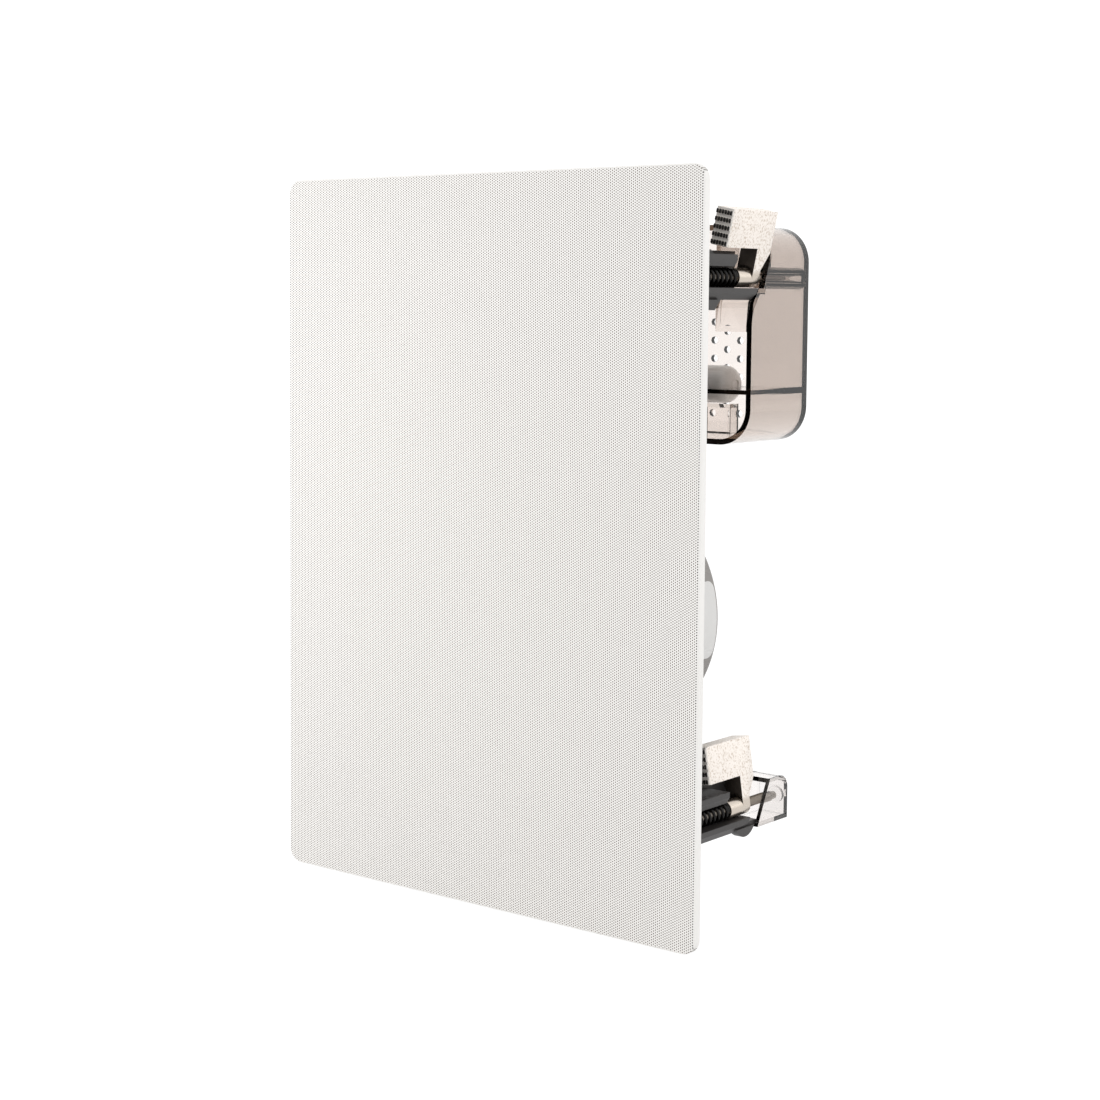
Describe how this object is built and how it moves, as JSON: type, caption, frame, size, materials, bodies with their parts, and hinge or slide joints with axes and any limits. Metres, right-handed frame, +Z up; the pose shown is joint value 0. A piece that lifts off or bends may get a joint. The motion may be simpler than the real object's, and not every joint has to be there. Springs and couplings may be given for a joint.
{
  "type": "in wall speaker",
  "caption": "Two-way loudspeaker that clamps into a wall cut-out, with a perforated magnetic grille, swing-out clamps and a smoked clear crossover cover.",
  "frame": {"origin": "centre of the flange's rear face, which lies on the wall's surface", "axes": "+X to the right seen from the room, +Y into the wall, +Z up"},
  "size_m": [0.208, 0.1005, 0.29],
  "materials": {
    "grille_paint": "satin powder coat on perforated steel",
    "frame_plastic": "moulded, fine texture",
    "magnet_nickel": "nickel plated",
    "screw_zinc": "zinc plated",
    "screw_black": "black oxide",
    "spring_black": "black oxide",
    "basket_paint": "semi-gloss black",
    "surround_rubber": "matte",
    "cone_paper": "pressed, black",
    "former_foil": "rolled foil",
    "copper_wire": "enamelled",
    "spider_cloth": "resin-stiffened cloth",
    "motor_steel": "zinc plated",
    "ferrite": "ground",
    "boot_rubber": "matte, moulded",
    "label_paper": "bare, semi-gloss",
    "tab_brass": "tinned",
    "tweeter_plastic": "moulded",
    "dome_silk": "coated silk",
    "board_laminate": "laminate",
    "post_nylon": "moulded",
    "sleeve_dark": "shrink sleeve",
    "cement": "cast",
    "film_wrap": "wound film",
    "smoked_plastic": "smoked clear moulding",
    "clear_plastic": "clear moulding",
    "terminal_plastic": "moulded",
    "button_red": "moulded",
    "button_black": "moulded",
    "zinc_casting": "die-cast zinc, blasted",
    "pad_rubber": "moulded"
  },
  "bodies": {
    "frame": {"grille_magnets": "magnet_nickel", "frame_baffle": "frame_plastic", "driver_screws": "screw_black", "woofer_basket": "basket_paint", "woofer_surround": "surround_rubber", "woofer_spider": "spider_cloth", "woofer_top_plate": "motor_steel", "woofer_magnet": "ferrite", "woofer_yoke": "motor_steel", "magnet_boot": "boot_rubber", "boot_label": "label_paper", "woofer_terminals": "tab_brass", "tweeter_plate": "tweeter_plastic", "tweeter_edge": "dome_silk", "tweeter_top_plate": "motor_steel", "tweeter_magnet": "ferrite", "tweeter_yoke": "motor_steel", "tweeter_cup": "tweeter_plastic", "crossover_board": "board_laminate", "board_posts": "post_nylon", "air_coil": "copper_wire", "core_coil": "copper_wire", "small_capacitor": "sleeve_dark", "resistor": "cement", "large_capacitor": "film_wrap", "crossover_cover": "smoked_plastic", "cover_screws": "screw_black", "terminal_block": "terminal_plastic", "tip_cap_lower_right": "clear_plastic", "tip_cap_lower_left": "clear_plastic"},
    "grille": {"grille_panel": "grille_paint"},
    "cone": {"woofer_cone": "cone_paper", "woofer_dust_cap": "cone_paper", "woofer_coil_former": "former_foil", "woofer_voice_coil": "copper_wire"},
    "dome": {"tweeter_dome": "dome_silk"},
    "button_left": {"button_left": "button_black"},
    "button_right": {"button_right": "button_red"},
    "screw_upper_right": {"clamp_screw_upper_right": "screw_zinc"},
    "spring_upper_right": {"clamp_spring_upper_right": "spring_black"},
    "arm_upper_right": {"clamp_arm_upper_right": "zinc_casting", "clamp_pad_upper_right": "pad_rubber"},
    "screw_lower_right": {"clamp_screw_lower_right": "screw_zinc"},
    "spring_lower_right": {"clamp_spring_lower_right": "spring_black"},
    "arm_lower_right": {"clamp_arm_lower_right": "zinc_casting", "clamp_pad_lower_right": "pad_rubber"},
    "screw_upper_left": {"clamp_screw_upper_left": "screw_zinc"},
    "spring_upper_left": {"clamp_spring_upper_left": "spring_black"},
    "arm_upper_left": {"clamp_arm_upper_left": "zinc_casting", "clamp_pad_upper_left": "pad_rubber"},
    "screw_lower_left": {"clamp_screw_lower_left": "screw_zinc"},
    "spring_lower_left": {"clamp_spring_lower_left": "spring_black"},
    "arm_lower_left": {"clamp_arm_lower_left": "zinc_casting", "clamp_pad_lower_left": "pad_rubber"}
  },
  "joints": [
    {"name": "grille_lift", "type": "slide", "parent": "frame", "child": "grille", "axis": [0, -1, 0], "range_m": [0, 0.05]},
    {"name": "cone_travel", "type": "slide", "parent": "frame", "child": "cone", "axis": [0, 1, 0], "range_m": [-0.003, 0.003], "stiffness_N_per_m": 1000, "deforming": ["woofer_surround", "woofer_spider"]},
    {"name": "dome_travel", "type": "slide", "parent": "frame", "child": "dome", "axis": [0, 1, 0], "range_m": [-0.0003, 0.0003], "stiffness_N_per_m": 1000, "deforming": ["tweeter_edge"]},
    {"name": "button_left_press", "type": "slide", "parent": "frame", "child": "button_left", "axis": [0, -1, 0], "range_m": [0, 0.002], "stiffness_N_per_m": 400},
    {"name": "button_right_press", "type": "slide", "parent": "frame", "child": "button_right", "axis": [0, -1, 0], "range_m": [0, 0.002], "stiffness_N_per_m": 400},
    {"name": "screw_turn_upper_right", "type": "hinge", "parent": "frame", "child": "screw_upper_right", "pos_m": [0.0855, 0, 0.10465], "axis": [0, 1, 0], "range_deg": [0, 2160]},
    {"name": "clamp_travel_upper_right", "type": "slide", "parent": "frame", "child": "spring_upper_right", "axis": [0, -1, 0], "range_m": [0, 0.009], "deforming": ["clamp_spring_upper_right"]},
    {"name": "arm_swing_upper_right", "type": "hinge", "parent": "spring_upper_right", "child": "arm_upper_right", "pos_m": [0.0855, 0, 0.10465], "axis": [0, 1, 0], "range_deg": [-22, 78]},
    {"name": "screw_turn_lower_right", "type": "hinge", "parent": "frame", "child": "screw_lower_right", "pos_m": [0.0855, 0, -0.10155], "axis": [0, 1, 0], "range_deg": [0, 2160]},
    {"name": "clamp_travel_lower_right", "type": "slide", "parent": "frame", "child": "spring_lower_right", "axis": [0, -1, 0], "range_m": [0, 0.009], "deforming": ["clamp_spring_lower_right"]},
    {"name": "arm_swing_lower_right", "type": "hinge", "parent": "spring_lower_right", "child": "arm_lower_right", "pos_m": [0.0855, 0, -0.10155], "axis": [0, 1, 0], "range_deg": [-1.5, 98.5]},
    {"name": "screw_turn_upper_left", "type": "hinge", "parent": "frame", "child": "screw_upper_left", "pos_m": [-0.0855, 0, 0.10465], "axis": [0, 1, 0], "range_deg": [0, 2160]},
    {"name": "clamp_travel_upper_left", "type": "slide", "parent": "frame", "child": "spring_upper_left", "axis": [0, -1, 0], "range_m": [0, 0.009], "deforming": ["clamp_spring_upper_left"]},
    {"name": "arm_swing_upper_left", "type": "hinge", "parent": "spring_upper_left", "child": "arm_upper_left", "pos_m": [-0.0855, 0, 0.10465], "axis": [0, 1, 0], "range_deg": [-14, 86]},
    {"name": "screw_turn_lower_left", "type": "hinge", "parent": "frame", "child": "screw_lower_left", "pos_m": [-0.0855, 0, -0.10155], "axis": [0, 1, 0], "range_deg": [0, 2160]},
    {"name": "clamp_travel_lower_left", "type": "slide", "parent": "frame", "child": "spring_lower_left", "axis": [0, -1, 0], "range_m": [0, 0.009], "deforming": ["clamp_spring_lower_left"]},
    {"name": "arm_swing_lower_left", "type": "hinge", "parent": "spring_lower_left", "child": "arm_lower_left", "pos_m": [-0.0855, 0, -0.10155], "axis": [0, 1, 0], "range_deg": [-7, 93]}
  ],
  "couplings": [
    {"joint": "screw_turn_upper_right", "follows": "clamp_travel_upper_right", "rad_per_m": 4188.7},
    {"joint": "screw_turn_lower_right", "follows": "clamp_travel_lower_right", "rad_per_m": 4188.7},
    {"joint": "screw_turn_upper_left", "follows": "clamp_travel_upper_left", "rad_per_m": 4188.7},
    {"joint": "screw_turn_lower_left", "follows": "clamp_travel_lower_left", "rad_per_m": 4188.7}
  ]
}
